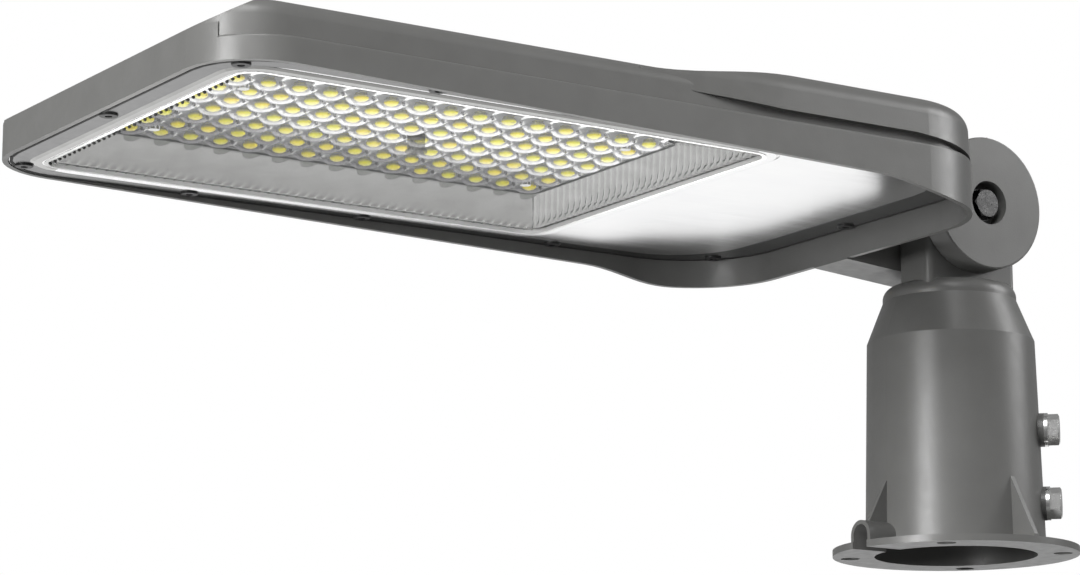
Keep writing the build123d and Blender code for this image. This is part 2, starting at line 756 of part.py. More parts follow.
def make_cover_gasket():
    """Flat gasket between the cover plate and the housing's ledge, inside the screws."""
    half_width = GASKET_WIDTH / 2
    ring = led_plan(half_width, GASKET_WIDTH) + driver_plan(half_width, GASKET_WIDTH)
    ring -= led_plan(0, 0) + driver_plan(0, 0)
    return prism(ring, plate_top, ledge_z)


def make_cover_screws():
    """Black pan-head screws of the cover plate."""
    screws = []
    for x, y in screw_places():
        shank = bar_z(SCREW_DIAMETER / 2, cover_z, cover_z + SCREW_LENGTH, x, y)
        head = bar_z(SCREW_HEAD_DIAMETER / 2, cover_z - SCREW_HEAD_HEIGHT, cover_z, x, y)
        lower = head.faces().sort_by(Axis.Z)[0].edges()
        head = chamfer(lower, SCREW_HEAD_HEIGHT / 3)
        socket = Pos(x, y, cover_z - SCREW_HEAD_HEIGHT) * hexagon(SCREW_SOCKET)
        screws.append(shank + head - extrude(socket, SCREW_HEAD_HEIGHT / 2))
    return Compound(children=screws)


def make_window():
    """Clear cover of the light opening."""
    return prism(window_plan(0), window_low, window_top)


def make_window_seal():
    """Pale seal round the window's edge."""
    return prism(plate_opening() - window_plan(0), window_low, window_top)


def light_plan(grow):
    """The light engine's outline in plan, grown by a margin."""
    return plan(light_rear - grow, light_front + grow, light_width / 2 + grow, TRAY_CORNER, TRAY_CORNER)


def led_places():
    """Plan position of each light source."""
    places = []
    for column in range(led_columns):
        for row in range(led_rows):
            x = led_centre + (column - (led_columns - 1) / 2) * LED_PITCH_X
            y = (row - (led_rows - 1) / 2) * LED_PITCH_Y
            places.append((x, y))
    return places


def board_screw_places():
    """Screws of the light engine: one at its centre and one in each quarter, between the lenses."""
    places = [(led_centre - LED_PITCH_X / 2, LED_PITCH_Y / 2)]
    for side_x in (-1, 1):
        for side_y in (-1, 1):
            x = led_centre + side_x * LED_PITCH_X * (led_columns - 2) / 2
            y = side_y * LED_PITCH_Y * (led_rows - 2) / 2
            places.append((x, y))
    return places


def with_board_holes(body, low, high):
    """A layer of the light engine with its screws' holes."""
    for x, y in board_screw_places():
        body -= bar_z(BOARD_SCREW_DIAMETER / 2 + SCREW_CLEARANCE, low, high, x, y)
    return body


def make_thermal_pad():
    """Heat-conducting pad between the board and the housing."""
    low = sink_z - PAD_THICK
    return with_board_holes(prism(light_plan(BOARD_LIP), low, sink_z), low, sink_z)


def make_led_board():
    """Metal-core board that carries the light sources."""
    high = board_low + BOARD_THICK
    return with_board_holes(prism(light_plan(BOARD_LIP), board_low, high), board_low, high)


def make_led_chips():
    """Light sources on the board's lower face."""
    chips = []
    for x, y in led_places():
        place = Pos(x, y, board_low - CHIP_HEIGHT / 2)
        chips.append(place * Box(CHIP_SIZE, CHIP_SIZE, CHIP_HEIGHT))
    return Compound(children=chips)


def make_lens_plate():
    """Clear sheet with a domed lens over each light source and a rim that seats on the board."""
    sheet = prism(light_plan(0), lens_low, lens_top)
    rim = prism(light_plan(0) - light_plan(-LENS_RIM), lens_top, board_low)
    body = with_board_holes(sheet, lens_low, lens_top) + rim
    lens = Cone(LENS_TOP_RADIUS, LENS_RADIUS, LENS_HEIGHT)
    middle = lens_low - LENS_HEIGHT / 2
    return body + [Pos(x, y, middle) * lens for x, y in led_places()]


def make_board_screws():
    """Screws that hold lens plate, board and pad to the housing."""
    screws = []
    for x, y in board_screw_places():
        shank = bar_z(BOARD_SCREW_DIAMETER / 2, lens_low, sink_z + BOARD_SCREW_GRIP, x, y)
        head = bar_z(BOARD_SCREW_HEAD / 2, lens_low - BOARD_SCREW_HEAD_HEIGHT, lens_low, x, y)
        screws.append(shank + head)
    return Compound(children=screws)


def make_window_post():
    """Post over the centre screw's head, between four lenses, that keeps the window from bowing inwards."""
    x, y = board_screw_places()[0]
    radius = math.hypot(LED_PITCH_X, LED_PITCH_Y) / 2 - LENS_RADIUS - POST_LENS_GAP
    low = window_top + POST_WINDOW_GAP
    post = bar_z(radius, low, lens_low, x, y)
    foot = bar_z(POST_FOOT_DIAMETER / 2, low, low + POST_FOOT_THICK, x, y)
    pocket_low = lens_low - BOARD_SCREW_HEAD_HEIGHT - POST_HEAD_GAP
    pocket = bar_z(BOARD_SCREW_HEAD / 2 + POST_HEAD_GAP, pocket_low, lens_low, x, y)
    return post + foot - pocket


def tray_cone(grow, low, high):
    """Sloped block between the window's outline and the light engine's outline."""
    mouth = window_plan(grow - TRAY_MOUTH_INSET)
    throat = light_plan(grow + TRAY_BOARD_GAP)
    return loft([Pos(0, 0, low) * mouth, Pos(0, 0, high) * throat])


def make_reflector_tray():
    """Bright tray whose four walls slope from the window up to the light engine."""
    low = window_top + TRAY_SEAT_GAP
    high = board_low - TRAY_SEAT_GAP
    return tray_cone(TRAY_WALL, low, high) - tray_cone(0, low, high)


def gear_screw_places():
    """Screws of the driver, through the tabs at its two ends."""
    reach = DRIVER_LENGTH / 2 + DRIVER_TAB / 2
    offset = DRIVER_WIDTH / 4
    return [(driver_centre + x, y) for x in (-offset, offset) for y in (-reach, reach)]


def make_driver():
    """Power supply with a mounting tab at each end, held to the chamber's ceiling."""
    middle = ceiling_z - DRIVER_HEIGHT / 2
    case = Pos(driver_centre, 0, middle) * Box(DRIVER_WIDTH, DRIVER_LENGTH, DRIVER_HEIGHT)
    case = fillet(case.edges().filter_by(Axis.Y), DRIVER_EDGE)
    tabs = Pos(driver_centre, 0, ceiling_z - DRIVER_TAB_THICK / 2) * Box(
        DRIVER_WIDTH - 2 * DRIVER_EDGE, DRIVER_LENGTH + 2 * DRIVER_TAB, DRIVER_TAB_THICK
    )
    body = case + tabs
    hole = GEAR_SCREW_DIAMETER / 2 + SCREW_CLEARANCE
    for x, y in gear_screw_places():
        body -= bar_z(hole, ceiling_z - DRIVER_TAB_THICK, ceiling_z, x, y)
    return body


def make_driver_screws():
    """Pan-head screws of the driver."""
    screws = []
    seat = ceiling_z - DRIVER_TAB_THICK
    for x, y in gear_screw_places():
        shank = bar_z(GEAR_SCREW_DIAMETER / 2, seat, ceiling_z + GEAR_SCREW_DEPTH, x, y)
        head = bar_z(GEAR_SCREW_HEAD / 2, seat - GEAR_SCREW_HEAD_HEIGHT, seat, x, y)
        screws.append(shank + head)
    return Compound(children=screws)


def make_surge_protector():
    """Surge protector potted in a small case, in front of the driver."""
    place = Pos(gear_centre, -GEAR_SIDE, ceiling_z - SURGE_HEIGHT / 2)
    case = place * Box(SURGE_WIDTH, SURGE_LENGTH, SURGE_HEIGHT)
    return fillet(case.edges().filter_by(Axis.Z), DRIVER_EDGE)


def make_terminal_block():
    """Screw terminals for the supply, in front of the driver, with a wire entry for each pole."""
    middle = ceiling_z - TERMINAL_HEIGHT / 2
    body = Pos(gear_centre, GEAR_SIDE, middle) * Box(TERMINAL_WIDTH, TERMINAL_LENGTH, TERMINAL_HEIGHT)
    pitch = TERMINAL_LENGTH / TERMINAL_POLES
    low = ceiling_z - TERMINAL_HEIGHT
    for pole in range(TERMINAL_POLES):
        y = GEAR_SIDE + (pole - (TERMINAL_POLES - 1) / 2) * pitch
        body -= bar_z(TERMINAL_ENTRY / 2, low, low + TERMINAL_ENTRY_DEPTH, gear_centre, y)
    return body


def make_cable_gland():
    """Gland in the rear wall between the fork's ears."""
    seat = gland_seat()
    y = slot_middle
    z = gland_z()
    body = bar_x(GLAND_COLLAR / 2, seat - GLAND_COLLAR_LENGTH, seat, y, z)
    cap = bar_x(GLAND_THREAD / 2, seat - GLAND_COLLAR_LENGTH - GLAND_DOME, seat, y, z)
    mouth = cap.faces().sort_by(Axis.X)[0].edges()
    body += fillet(mouth, GLAND_DOME / 3)
    body += bar_x(GLAND_THREAD / 2, seat, driver_chamber_rear + GLAND_NUT_THICK, y, z)
    return body - bar_x(GLAND_BORE / 2, seat - GLAND_COLLAR, driver_centre, y, z)


def make_gland_nut():
    """Lock nut of the gland inside the driver chamber."""
    ring = extrude(hexagon(GLAND_NUT_FLATS) - Circle(GLAND_THREAD / 2 + GLAND_CLEARANCE), GLAND_NUT_THICK)
    return Pos(driver_chamber_rear, slot_middle, gland_z()) * Rot(0, 90, 0) * ring


def make_breather_vent():
    """Pressure-equalising vent in the rear wall."""
    seat = gland_seat()
    z = gland_z()
    head = bar_x(VENT_HEAD / 2, seat - VENT_HEAD_THICK, seat, -VENT_SIDE, z)
    rim = head.faces().sort_by(Axis.X)[0].edges()
    stem = bar_x(VENT_DIAMETER / 2, seat, driver_chamber_rear, -VENT_SIDE, z)
    return fillet(rim, VENT_HEAD_THICK / 3) + stem


def make_pivot_bolt():
    """Hinge bolt, with its head sunk in the near ear."""
    seat = EAR_OUTER - HEAD_POCKET + WASHER_THICK
    tail = NUT_POCKET - EAR_OUTER - WASHER_THICK - NUT_HEIGHT - BOLT_TAIL
    head = Pos(0, seat, PIVOT_HEIGHT) * Rot(-90, 0, 0) * hex_head(BOLT_HEAD_HEIGHT)
    return rod(BOLT_DIAMETER / 2, seat, tail) + head


def make_pivot_nut():
    """Nut of the hinge bolt, sunk in the far ear."""
    seat = NUT_POCKET - EAR_OUTER - WASHER_THICK
    nut = Pos(0, seat, PIVOT_HEIGHT) * Rot(90, 0, 0) * hex_head(NUT_HEIGHT)
    return nut - rod(bolt_hole, seat, seat - NUT_HEIGHT)


def make_pivot_washers():
    """Washers under the hinge bolt's head and nut."""
    near = EAR_OUTER - HEAD_POCKET
    far = NUT_POCKET - EAR_OUTER
    rings = []
    for inner in (near + WASHER_THICK, far):
        outer = inner - WASHER_THICK
        rings.append(rod(WASHER_DIAMETER / 2, inner, outer) - rod(bolt_hole, inner, outer))
    return Compound(children=rings)


NODES = {
    "pole_adaptor": make_pole_adaptor,
    "clamp_bolts": make_clamp_bolts,
    "clamp_washers": make_clamp_washers,
    "cable_bush": make_cable_bush,
    "housing": make_housing,
    "cover_plate": make_cover_plate,
    "cover_gasket": make_cover_gasket,
    "cover_screws": make_cover_screws,
    "window": make_window,
    "window_seal": make_window_seal,
    "reflector_tray": make_reflector_tray,
    "lens_plate": make_lens_plate,
    "led_chips": make_led_chips,
    "led_board": make_led_board,
    "thermal_pad": make_thermal_pad,
    "board_screws": make_board_screws,
    "window_post": make_window_post,
    "driver": make_driver,
    "driver_screws": make_driver_screws,
    "surge_protector": make_surge_protector,
    "terminal_block": make_terminal_block,
    "cable_gland": make_cable_gland,
    "gland_nut": make_gland_nut,
    "breather_vent": make_breather_vent,
    "pivot_bolt": make_pivot_bolt,
    "pivot_nut": make_pivot_nut,
    "pivot_washers": make_pivot_washers,
}

os.makedirs("parts", exist_ok=True)
for name, make in NODES.items():
    export_step(make(), f"parts/{name}.step")
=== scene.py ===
import json
import math
from collections import namedtuple

import bmesh
import bpy
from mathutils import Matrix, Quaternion, Vector


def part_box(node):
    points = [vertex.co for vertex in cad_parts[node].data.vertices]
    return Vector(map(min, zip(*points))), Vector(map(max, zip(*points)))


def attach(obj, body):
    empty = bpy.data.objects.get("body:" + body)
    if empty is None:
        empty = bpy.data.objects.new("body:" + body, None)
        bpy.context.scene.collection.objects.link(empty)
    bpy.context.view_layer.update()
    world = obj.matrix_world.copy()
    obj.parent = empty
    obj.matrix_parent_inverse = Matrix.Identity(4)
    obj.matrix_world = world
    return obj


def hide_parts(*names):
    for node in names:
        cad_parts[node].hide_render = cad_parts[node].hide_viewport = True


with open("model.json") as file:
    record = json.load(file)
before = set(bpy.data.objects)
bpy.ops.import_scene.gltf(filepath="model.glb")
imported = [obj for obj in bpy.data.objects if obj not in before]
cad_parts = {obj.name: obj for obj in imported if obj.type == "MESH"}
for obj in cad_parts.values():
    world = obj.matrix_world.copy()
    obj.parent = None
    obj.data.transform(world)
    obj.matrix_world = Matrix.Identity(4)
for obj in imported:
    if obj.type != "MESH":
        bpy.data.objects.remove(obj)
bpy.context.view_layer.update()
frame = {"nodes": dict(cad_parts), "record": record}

MM = 0.001

# Camera of the photograph
CAMERA_PLACE = Vector((1.0454, 1.2351, -0.2016))
CAMERA_FORWARD = Vector((-0.5376, -0.8187, 0.2020))
CAMERA_ROLL = math.radians(-0.099)
CAMERA_LENS = 114.1
SENSOR_WIDTH = 36.0

# Stage and light, in metres
FLOOR_Z = -2.3
FLOOR_SIZE = 400.0
LIGHT_TARGET = Vector((0.22, 0.0, 0.15))
LENS_TARGET = Vector((0.31, 0.03, 0.16))
UNDER_SPREAD = math.radians(38)

# Strength of the backdrop and the floor as they light the part, mirror in it or show; 1 is white
WHITE = 1.0
AMBIENT = 0.09
BACKDROP_MIRRORED = 0.3
FLOOR_PALE = 0.8
GLOW_UNDER = 0.2

# Stretch of the floor over which its mirrored glow grows, in metres towards the far side
GLOW_TOWARDS = (0, -1, 0)
GLOW_STRETCH = (-1.55, 4.15)

# Middle values of a noise texture, between which a finish runs
NOISE_SPAN = (0.3, 0.7)

# Clear plastic: its density by how far it turns edge-on, and how much denser the near lens rows are, which
# paints them paler as painted light
PLASTIC_IOR = 1.49
LENS_FACING = (0.25, 0.95)
LENS_DENSITY = (0.02, 0.24)
LENS_FILL = 1.7

# Stretch of the lens rows over which their painted shade passes from grey to pale, in metres towards the
# near side
ROWS_TOWARDS = (-0.1, 1, 0)
ROWS_STRETCH = (-0.065, -0.03)

# Roundness of the meshes
ROUND_SEGMENTS = 28
DOME_RINGS = 8
CORNER_STEPS = 6

# Light engine, as it is laid out on the board
LED_COLUMNS = 15
LED_ROWS = 7
LED_PITCH_X = 14.55 * MM
LED_PITCH_Y = 16.0 * MM
SHEET_GAP = 0.1 * MM
SHEET_THICK = 1.6 * MM
SHEET_CORNER = 6.0 * MM
LENS_RADIUS = 6.7 * MM
LENS_COLLAR = 0.4 * MM
LENS_STEP = 0.5 * MM
LENS_RISE = 1.8 * MM
EMITTER_SIZE = 3.5 * MM
EMITTER_HEIGHT = 0.6 * MM
EMITTER_DOME_RADIUS = 3.3 * MM
EMITTER_DOME_HALF = 1.75 * MM
EMITTER_DOME_DROP = 2.1 * MM
PIP_RADIUS = 0.75 * MM
PIP_RISE = 1.75 * MM
PIP_OFFSET = Vector((-3.5, 4.0)) * MM

# Curved flank of each lens, grey as painted shade, with its section in shares of its wall and its rise
PRISM_INNER = 4.3 * MM
PRISM_OUTER = 6.5 * MM
PRISM_RISE = 1.9 * MM
PRISM_FACING = math.radians(-110)
PRISM_HALF_SPAN = math.radians(82)
PRISM_STEPS = 14
PRISM_SECTION = ((0, 0), (0, -0.7), (0.3, -1), (0.7, -0.95), (0.95, -0.6), (1, 0))
PRISM_LEAST_RISE = 0.02

# Dark strip in the gap between lens sheet and reflector, painted shade of that gap
THROAT_GAP = 0.5 * MM
THROAT_STRIP = 0.4 * MM
THROAT_STRIP_LOW = -0.7 * MM
THROAT_STRIP_HIGH = 0.3 * MM

# Ribbed reflector round the light engine, with its rows in shares of the wall's height
RIB_PITCH = 4.8 * MM
RIB_POINTS = 6
RIB_DEPTH_MOUTH = 1.4 * MM
RIB_DEPTH_SIDE = 0.008 * MM
RIB_DEPTH_END = 0.35 * MM
RIB_FADE = 3.0 * MM
CRIMP_SHARE = 0.15
REFLECTOR_ROWS = (0.0, 0.05, 0.1, CRIMP_SHARE, 0.25, 0.4, 0.55, 0.7, 0.85, 1.0)
REFLECTOR_BULGE = 0.9 * MM
REFLECTOR_WALL = 0.8 * MM
BULGE_FADE = 30.0 * MM
MOUTH_CORNER = 7.5 * MM
MOUTH_INSET = 1.5 * MM
WELD = 0.001 * MM

# Black beads along the front seal, painted shade of the grooves in the reflector's mouth
BEAD_RADIUS = 0.75 * MM
BEAD_DROP = 1.1 * MM
BEAD_STRAIGHT = BEAD_DROP / 3

# Dark lobes under the lens sheet's far edge, painted shade on the reflector's wall
LOBE_SHIFT = -7.0 * MM
LOBE_HALF = 4.2 * MM
LOBE_LENGTH = 5.5 * MM
LOBE_STAND = 0.3 * MM
LOBE_STEPS = 12

# White teeth at the reflector's mouth, in the seal's white, as painted highlight of the crimp ends
TOOTH_BASE = 1.5 * MM
TOOTH_RISE = 1.5 * MM
TOOTH_THICK = 0.6 * MM
TOOTH_SETBACK = 3.2 * MM
TOOTH_GAP = 0.1 * MM

# Dark rim round the cover plate, and the gasket's lip at its edge
PLATE_THICK = 2.0 * MM
PLATE_FRONT_CORNER = 30.1 * MM
PLATE_REAR_CORNER = 47.1 * MM
RIM_THICK = 0.1 * MM
RIM_GAP = 0.1 * MM
RIM_BEVEL = 0.8 * MM
RIM_FRONT_WIDTH = 9.8 * MM
RIM_SIDE_WIDTH = 8.0 * MM
RIM_REAR_WIDTH = 16.0 * MM
RIM_FRONT_CORNER = 24.0 * MM
RIM_REAR_CORNER = 38.0 * MM
LIP_WIDTH = 1.2 * MM
LIP_THICK = 0.25 * MM

# Darker skin on the front and near sides of the window's frame, painted shade
FRAME_WIDTH = 6.0 * MM
FRAME_SLOPE = 1.65 * MM
FRAME_STAND = 0.6 * MM
FRAME_CORNER = 10.8 * MM
FRAME_INSET = 0.9 * MM
FRAME_SKIN = 0.1 * MM

Wall = namedtuple("Wall", "axis outward lean depth mouth throat heights")


def feed(tree, socket, value):
    """Link a socket to another one, or set it to a plain number."""
    if isinstance(value, bpy.types.NodeSocket):
        tree.links.new(value, socket)
    else:
        socket.default_value = value


def work_out(tree, operation, first, second):
    """Number worked out from two others."""
    node = tree.nodes.new("ShaderNodeMath")
    node.operation = operation
    feed(tree, node.inputs[0], first)
    feed(tree, node.inputs[1], second)
    return node.outputs["Value"]


def mix_numbers(tree, share, first, second):
    """Blend of two numbers."""
    node = tree.nodes.new("ShaderNodeMix")
    feed(tree, node.inputs["Factor"], share)
    feed(tree, node.inputs["A"], first)
    feed(tree, node.inputs["B"], second)
    return node.outputs["Result"]


def mix_shaders(tree, share, first, second):
    """Blend of two shaders."""
    node = tree.nodes.new("ShaderNodeMixShader")
    feed(tree, node.inputs["Fac"], share)
    feed(tree, node.inputs[1], first)
    feed(tree, node.inputs[2], second)
    return node.outputs["Shader"]


def carry_over(tree, value, start, end, interpolation="LINEAR"):
    """Number carried from one span over to another, and held at the ends."""
    node = tree.nodes.new("ShaderNodeMapRange")
    node.interpolation_type = interpolation
    for socket, number in zip(("From Min", "From Max", "To Min", "To Max"), (*start, *end)):
        node.inputs[socket].default_value = number
    feed(tree, node.inputs["Value"], value)
    return node.outputs["Result"]


def mirrored_rays(tree, path):
    """One for rays that come by way of a reflection or through glass, and else zero."""
    return work_out(tree, "MAXIMUM", path.outputs["Is Glossy Ray"], path.outputs["Is Transmission Ray"])


def make_camera():
    """Camera at the photograph's viewpoint."""
    data = bpy.data.cameras.new("photo_camera")
    data.lens = CAMERA_LENS
    data.sensor_width = SENSOR_WIDTH
    camera = bpy.data.objects.new("photo_camera", data)
    bpy.context.scene.collection.objects.link(camera)
    camera.location = CAMERA_PLACE
    camera.rotation_mode = "QUATERNION"
    turn = CAMERA_FORWARD.to_track_quat("-Z", "Y")
    camera.rotation_quaternion = turn @ Quaternion((0, 0, 1), CAMERA_ROLL)
    bpy.context.scene.camera = camera


def make_world():
    """White backdrop for the camera, greyer for reflections and for the light that it sheds."""
    world = bpy.data.worlds.new("studio")
    bpy.context.scene.world = world
    world.use_nodes = True
    tree = world.node_tree
    background = tree.nodes["Background"]
    background.inputs["Color"].default_value = (1, 1, 1, 1)
    path = tree.nodes.new("ShaderNodeLightPath")
    shed = mix_numbers(tree, mirrored_rays(tree, path), AMBIENT, BACKDROP_MIRRORED)
    seen = mix_numbers(tree, path.outputs["Is Camera Ray"], shed, WHITE)
    feed(tree, background.inputs["Strength"], seen)


def make_softbox(name, direction, distance, size, power, target=LIGHT_TARGET):
    """Rectangular soft light that faces the head."""
    data = bpy.data.lights.new(name, "AREA")
    data.shape = "RECTANGLE"
    data.size, data.size_y = size
    data.energy = power
    light = bpy.data.objects.new(name, data)
    bpy.context.scene.collection.objects.link(light)
    light.location = target + Vector(direction).normalized() * distance
    aim = target - light.location
    light.rotation_mode = "QUATERNION"
    light.rotation_quaternion = aim.to_track_quat("-Z", "Y")
    light.visible_camera = False
    return light


def make_lights():
    """Low front softbox, rear softbox, a large one over the camera's side and one under the head."""
    make_softbox("front_softbox", (0.96, 0.28, 0.06), distance=2.0, size=(0.7, 0.9), power=41.0)
    make_softbox("rear_softbox", (-0.88, 0.47, 0.4), distance=2.0, size=(0.8, 1.0), power=20.0)
    make_softbox("top_softbox", (0.55, 0.6, 0.68), distance=2.3, size=(1.4, 1.4), power=39.0)
    under = make_softbox("under_softbox", (0.0, 0.2, -1.0), distance=0.46, size=(0.4, 0.06), power=0.44,
                         target=LENS_TARGET)
    under.data.spread = UNDER_SPREAD
    under.visible_glossy = False


def make_floor(material):
    """Pale studio floor, far enough below the part for views from underneath."""
    mesh = bpy.data.meshes.new("floor")
    half = FLOOR_SIZE / 2
    corners = [(x, y, FLOOR_Z) for x, y in ((-half, -half), (half, -half), (half, half), (-half, half))]
    mesh.from_pydata(corners, [], [(0, 1, 2, 3)])
    floor = bpy.data.objects.new("floor", mesh)
    bpy.context.scene.collection.objects.link(floor)
    floor.data.materials.append(material)


def new_material(name, color, roughness, metallic=0.0, sockets=None):
    """Node material whose Principled shader has its constant sockets set."""
    material = bpy.data.materials.new(name)
    material.use_nodes = True
    inputs = material.node_tree.nodes["Principled BSDF"].inputs
    inputs["Base Color"].default_value = (*color, 1)
    inputs["Roughness"].default_value = roughness
    inputs["Metallic"].default_value = metallic
    for socket, value in (sockets or {}).items():
        inputs[socket].default_value = value
    return material


def add_noise(material, scale, detail=3.0, stretch=(1, 1, 1)):
    """Noise laid out in the object's own metres."""
    nodes = material.node_tree.nodes
    links = material.node_tree.links
    place = nodes.new("ShaderNodeTexCoord")
    mapping = nodes.new("ShaderNodeMapping")
    mapping.inputs["Scale"].default_value = stretch
    noise = nodes.new("ShaderNodeTexNoise")
    noise.inputs["Scale"].default_value = scale
    noise.inputs["Detail"].default_value = detail
    links.new(place.outputs["Object"], mapping.inputs["Vector"])
    links.new(mapping.outputs["Vector"], noise.inputs["Vector"])
    return noise.outputs["Fac"]


def along(material, direction, stretch, values):
    """Number that runs smoothly between two values along a direction on the object."""
    tree = material.node_tree
    place = tree.nodes.new("ShaderNodeTexCoord")
    reach = tree.nodes.new("ShaderNodeVectorMath")
    reach.operation = "DOT_PRODUCT"
    reach.inputs[1].default_value = direction
    tree.links.new(place.outputs["Object"], reach.inputs[0])
    return carry_over(tree, reach.outputs["Value"], stretch, values, "SMOOTHSTEP")


def drive(material, socket, source, low, high):
    """Run one number of the shader between two values by a texture."""
    tree = material.node_tree
    value = carry_over(tree, source, NOISE_SPAN, (low, high))
    feed(tree, tree.nodes["Principled BSDF"].inputs[socket], value)


def tint(material, source, low, high):
    """Run the base colour between two colours by a texture."""
    tree = material.node_tree
    ramp = tree.nodes.new("ShaderNodeValToRGB")
    for element, position, color in zip(ramp.color_ramp.elements, NOISE_SPAN, (low, high)):
        element.position = position
        element.color = (*color, 1)
    tree.links.new(source, ramp.inputs["Fac"])
    tree.links.new(ramp.outputs["Color"], tree.nodes["Principled BSDF"].inputs["Base Color"])


def roughen(material, source, depth):
    """Bump from a texture, with its depth in metres."""
    tree = material.node_tree
    bump = tree.nodes.new("ShaderNodeBump")
    bump.inputs["Distance"].default_value = depth
    tree.links.new(source, bump.inputs["Height"])
    tree.links.new(bump.outputs["Normal"], tree.nodes["Principled BSDF"].inputs["Normal"])


def make_casting():
    """Satin dark grey paint over die-cast aluminium."""
    material = new_material("casting", (0.125, 0.125, 0.121), roughness=0.36)
    tint(material, add_noise(material, scale=60.0), (0.12, 0.12, 0.116), (0.132, 0.132, 0.128))
    drive(material, "Roughness", add_noise(material, scale=220.0), low=0.32, high=0.4)
    roughen(material, add_noise(material, scale=1500.0, detail=2.0), depth=0.03 * MM)
    return material


def make_bright_plate():
    """Polished aluminium sheet with faint rolling lines."""
    material = new_material("bright_plate", (0.95, 0.95, 0.95), roughness=0.2, metallic=1.0)
    tint(material, add_noise(material, scale=30.0), (0.96, 0.96, 0.965), (0.99, 0.99, 0.99))
    drive(material, "Roughness", add_noise(material, scale=500.0, stretch=(0.04, 1, 1)), low=0.17, high=0.23)
    roughen(material, add_noise(material, scale=900.0, detail=2.0, stretch=(0.03, 1, 1)), depth=0.001 * MM)
    return material


def make_reflector_metal():
    """Bright rolled reflector sheet."""
    material = new_material("reflector", (0.42, 0.42, 0.41), roughness=0.12, metallic=1.0)
    tint(material, add_noise(material, scale=80.0), (0.4, 0.4, 0.39), (0.45, 0.45, 0.44))
    drive(material, "Roughness", add_noise(material, scale=600.0), low=0.09, high=0.15)
    return material


def make_rim_paint():
    """Satin black paint of the rim that carries the cover screws."""
    material = new_material("rim_paint", (0.014, 0.014, 0.014), roughness=0.2, sockets={"IOR": 2.5})
    tint(material, add_noise(material, scale=80.0), (0.011, 0.011, 0.011), (0.017, 0.017, 0.017))
    drive(material, "Roughness", add_noise(material, scale=260.0), low=0.18, high=0.26)
    roughen(material, add_noise(material, scale=1500.0, detail=2.0), depth=0.01 * MM)
    return material


def make_window_glass():
    """Thin clear cover with a trace of dust."""
    material = new_material("window", (0.93, 0.95, 0.95), roughness=0.04, sockets={"IOR": PLASTIC_IOR})
    drive(material, "Alpha", add_noise(material, scale=70.0), low=0.02, high=0.04)
    drive(material, "Roughness", add_noise(material, scale=300.0), low=0.03, high=0.07)
    return material


def make_lens_plastic_row_shade():
    """Clear moulded lens plastic, denser where it turns edge-on, with painted shade that greys the far rows
    and painted light that makes the near rows pale.
    """
    material = new_material("lens", (0.62, 0.62, 0.63), roughness=0.05, sockets={"IOR": PLASTIC_IOR})
    # Painted shade by row: grey in the far rows, pale in the near rows
    rows = along(material, ROWS_TOWARDS, ROWS_STRETCH, NOISE_SPAN)
    tint(material, rows, (0.35, 0.345, 0.36), (0.9, 0.9, 0.91))
    tree = material.node_tree
    turned_away = tree.nodes.new("ShaderNodeLayerWeight").outputs["Facing"]
    density = carry_over(tree, turned_away, LENS_FACING, LENS_DENSITY)
    # Painted light: the near rows are made denser, so they show paler
    fill = along(material, ROWS_TOWARDS, ROWS_STRETCH, (1.0, LENS_FILL))
    alpha = work_out(tree, "MULTIPLY", density, fill)
    feed(tree, tree.nodes["Principled BSDF"].inputs["Alpha"], alpha)
    drive(material, "Roughness", add_noise(material, scale=700.0), low=0.03, high=0.07)
    return material


def make_lens_sheet_plastic():
    """Thin clear sheet between the lenses."""
    material = new_material("lens_sheet", (0.9, 0.91, 0.91), roughness=0.08, sockets={"IOR": PLASTIC_IOR})
    drive(material, "Alpha", add_noise(material, scale=260.0), low=0.05, high=0.09)
    return material


def make_prism_plastic_painted_shade():
    """Frosted flank of each lens, which turns light to the road; its grey is painted shade on the lens's
    lower half, darker in the far rows.
    """
    material = new_material("lens_flank_shade", (0.4, 0.4, 0.41), roughness=0.2, sockets={"IOR": PLASTIC_IOR})
    # Painted shade by row: darker grey in the far rows, paler in the near rows
    rows = along(material, ROWS_TOWARDS, ROWS_STRETCH, NOISE_SPAN)
    tint(material, rows, (0.16, 0.155, 0.165), (0.62, 0.62, 0.64))
    drive(material, "Alpha", add_noise(material, scale=300.0), low=0.5, high=0.7)
    return material


def make_lobe_shade_plastic():
    """Dark clear plastic, painted shade under the board's edge."""
    material = new_material("lobe_painted_shade", (0.1, 0.105, 0.09), roughness=0.2, sockets={"IOR": PLASTIC_IOR})
    drive(material, "Alpha", add_noise(material, scale=200.0), low=0.35, high=0.55)
    return material


def make_smoked_plastic():
    """Smoke-grey clear plastic."""
    material = new_material("smoked_plastic", (0.03, 0.028, 0.018), roughness=0.3,
                            sockets={"Specular IOR Level": 0.2})
    drive(material, "Alpha", add_noise(material, scale=160.0), low=0.25, high=0.6)
    drive(material, "Roughness", add_noise(material, scale=900.0), low=0.25, high=0.4)
    return material


def make_seal():
    """White silicone seal."""
    material = new_material("pale_seal", (0.88, 0.88, 0.87), roughness=0.45)
    tint(material, add_noise(material, scale=120.0), (0.84, 0.84, 0.83), (0.92, 0.92, 0.91))
    roughen(material, add_noise(material, scale=1200.0), depth=0.02 * MM)
    return material


def make_rubber():
    """Matt black rubber."""
    material = new_material("dark_rubber", (0.025, 0.025, 0.025), roughness=0.7)
    tint(material, add_noise(material, scale=200.0), (0.02, 0.02, 0.02), (0.035, 0.035, 0.034))
    roughen(material, add_noise(material, scale=1600.0), depth=0.03 * MM)
    return material


def make_thermal_pad():
    """Grey gap pad."""
    material = new_material("thermal_pad", (0.42, 0.45, 0.5), roughness=0.75)
    tint(material, add_noise(material, scale=250.0), (0.38, 0.41, 0.46), (0.46, 0.49, 0.54))
    roughen(material, add_noise(material, scale=1400.0), depth=0.03 * MM)
    return material


